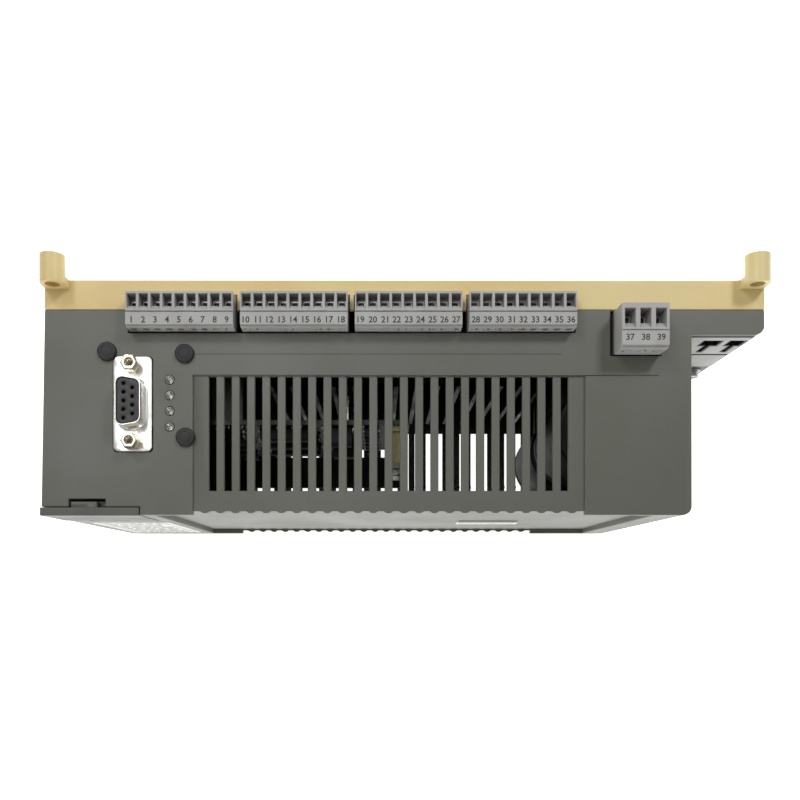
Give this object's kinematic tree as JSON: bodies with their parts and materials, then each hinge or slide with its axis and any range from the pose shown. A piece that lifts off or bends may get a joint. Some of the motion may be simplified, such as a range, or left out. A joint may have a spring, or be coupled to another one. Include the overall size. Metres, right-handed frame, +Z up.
{
  "type": "servo drive",
  "caption": "Wall-mounted servo drive: ivory tray with fixing lugs, olive louvred cover, pluggable terminals, D connector, lamps and hinged access flap.",
  "frame": {"origin": "centre of the four fixing holes, on the plane of the wall", "axes": "+X to the right along the drive, +Y into the wall, +Z up; the terminals are on the upper face and the flap and label on the -Y front face"},
  "size_m": [0.2361, 0.0831, 0.1185],
  "materials": {
    "ivory_abs": "yellowed ivory moulded ABS, satin",
    "olive_abs": "olive grey moulded ABS with a fine spark texture",
    "terminal_plastic": "pebble grey glass-filled polyamide",
    "header_plastic": "pebble grey polyamide",
    "black_plastic": "black moulded plastic",
    "rotor_plastic": "off-white acetal",
    "led_lens": "clear grey epoxy lens",
    "tinned_steel": "bright tin plate",
    "zinc_steel": "zinc plated steel",
    "nickel_brass": "nickel plated brass",
    "tin_pins": "tinned copper alloy",
    "gold_contact": "gold flash over nickel",
    "circuit_board": "green solder mask over glass epoxy",
    "capacitor_sleeve": "dark blue shrink sleeve",
    "relay_case": "translucent orange polycarbonate",
    "heatsink_aluminium": "black anodised extruded aluminium",
    "transformer_tape": "yellow polyester winding tape",
    "chip_epoxy": "black moulding epoxy",
    "label_film": "printed polyester label with ruled lines and no wording",
    "badge_plastic": "plain grey inset plate"
  },
  "bodies": {
    "drive": {"base_tray": "ivory_abs", "cover": "olive_abs", "cover_screws": "zinc_steel", "flap_pin": "zinc_steel", "setup_board": "circuit_board", "switch_bodies": "black_plastic", "interface_board": "circuit_board", "board_rivets": "black_plastic", "status_leds": "led_lens", "dsub_flange": "tinned_steel", "dsub_insulator": "black_plastic", "dsub_contacts": "gold_contact", "jackscrews": "nickel_brass", "main_board": "circuit_board", "header_pins": "tin_pins", "signal_header_1": "header_plastic", "signal_header_2": "header_plastic", "signal_header_3": "header_plastic", "signal_header_4": "header_plastic", "aux_header": "header_plastic", "aux_pins": "tin_pins", "power_board": "circuit_board", "motor_header": "terminal_plastic", "supply_header": "terminal_plastic", "power_pins": "tin_pins", "earth_screw": "zinc_steel", "bus_capacitors": "capacitor_sleeve", "capacitor_cradle": "black_plastic", "brake_relay": "relay_case", "heatsink": "heatsink_aluminium", "power_module": "black_plastic", "control_board": "circuit_board", "logic_chips": "chip_epoxy", "board_bracket": "olive_abs", "standoffs": "nickel_brass", "rating_plate": "label_film", "badge_plate": "badge_plastic", "contact_carriers": "black_plastic", "pulse_transformers": "transformer_tape", "air_baffle": "black_plastic"},
    "flap": {"access_flap": "olive_abs"},
    "high_rotor": {"rotor_high": "rotor_plastic"},
    "low_rotor": {"rotor_low": "rotor_plastic"},
    "plug_1": {"signal_plug_1": "terminal_plastic", "plug_clamps_1": "zinc_steel", "plug_screws_1": "zinc_steel"},
    "plug_2": {"signal_plug_2": "terminal_plastic", "plug_clamps_2": "zinc_steel", "plug_screws_2": "zinc_steel"},
    "plug_3": {"signal_plug_3": "terminal_plastic", "plug_clamps_3": "zinc_steel", "plug_screws_3": "zinc_steel"},
    "plug_4": {"signal_plug_4": "terminal_plastic", "plug_clamps_4": "zinc_steel", "plug_screws_4": "zinc_steel"},
    "aux_plug_body": {"aux_plug": "terminal_plastic", "aux_clamps": "zinc_steel", "aux_screws": "zinc_steel"}
  },
  "joints": [
    {"name": "flap_hinge", "type": "hinge", "parent": "drive", "child": "flap", "pos_m": [-0.1026, -0.08165, 0.028], "axis": [1, 0, 0], "range_deg": [0, 95]},
    {"name": "high_switch_turn", "type": "hinge", "parent": "drive", "child": "high_rotor", "pos_m": [-0.1064, -0.0704, 0.038], "axis": [0, -1, 0], "continuous": true},
    {"name": "low_switch_turn", "type": "hinge", "parent": "drive", "child": "low_rotor", "pos_m": [-0.0954, -0.0704, 0.038], "axis": [0, -1, 0], "continuous": true},
    {"name": "plug_1_pull", "type": "slide", "parent": "drive", "child": "plug_1", "axis": [0, 0, 1], "range_m": [0, 0.012]},
    {"name": "plug_2_pull", "type": "slide", "parent": "drive", "child": "plug_2", "axis": [0, 0, 1], "range_m": [0, 0.012]},
    {"name": "plug_3_pull", "type": "slide", "parent": "drive", "child": "plug_3", "axis": [0, 0, 1], "range_m": [0, 0.012]},
    {"name": "plug_4_pull", "type": "slide", "parent": "drive", "child": "plug_4", "axis": [0, 0, 1], "range_m": [0, 0.012]},
    {"name": "aux_plug_pull", "type": "slide", "parent": "drive", "child": "aux_plug_body", "axis": [0, 0, 1], "range_m": [0, 0.014]}
  ]
}
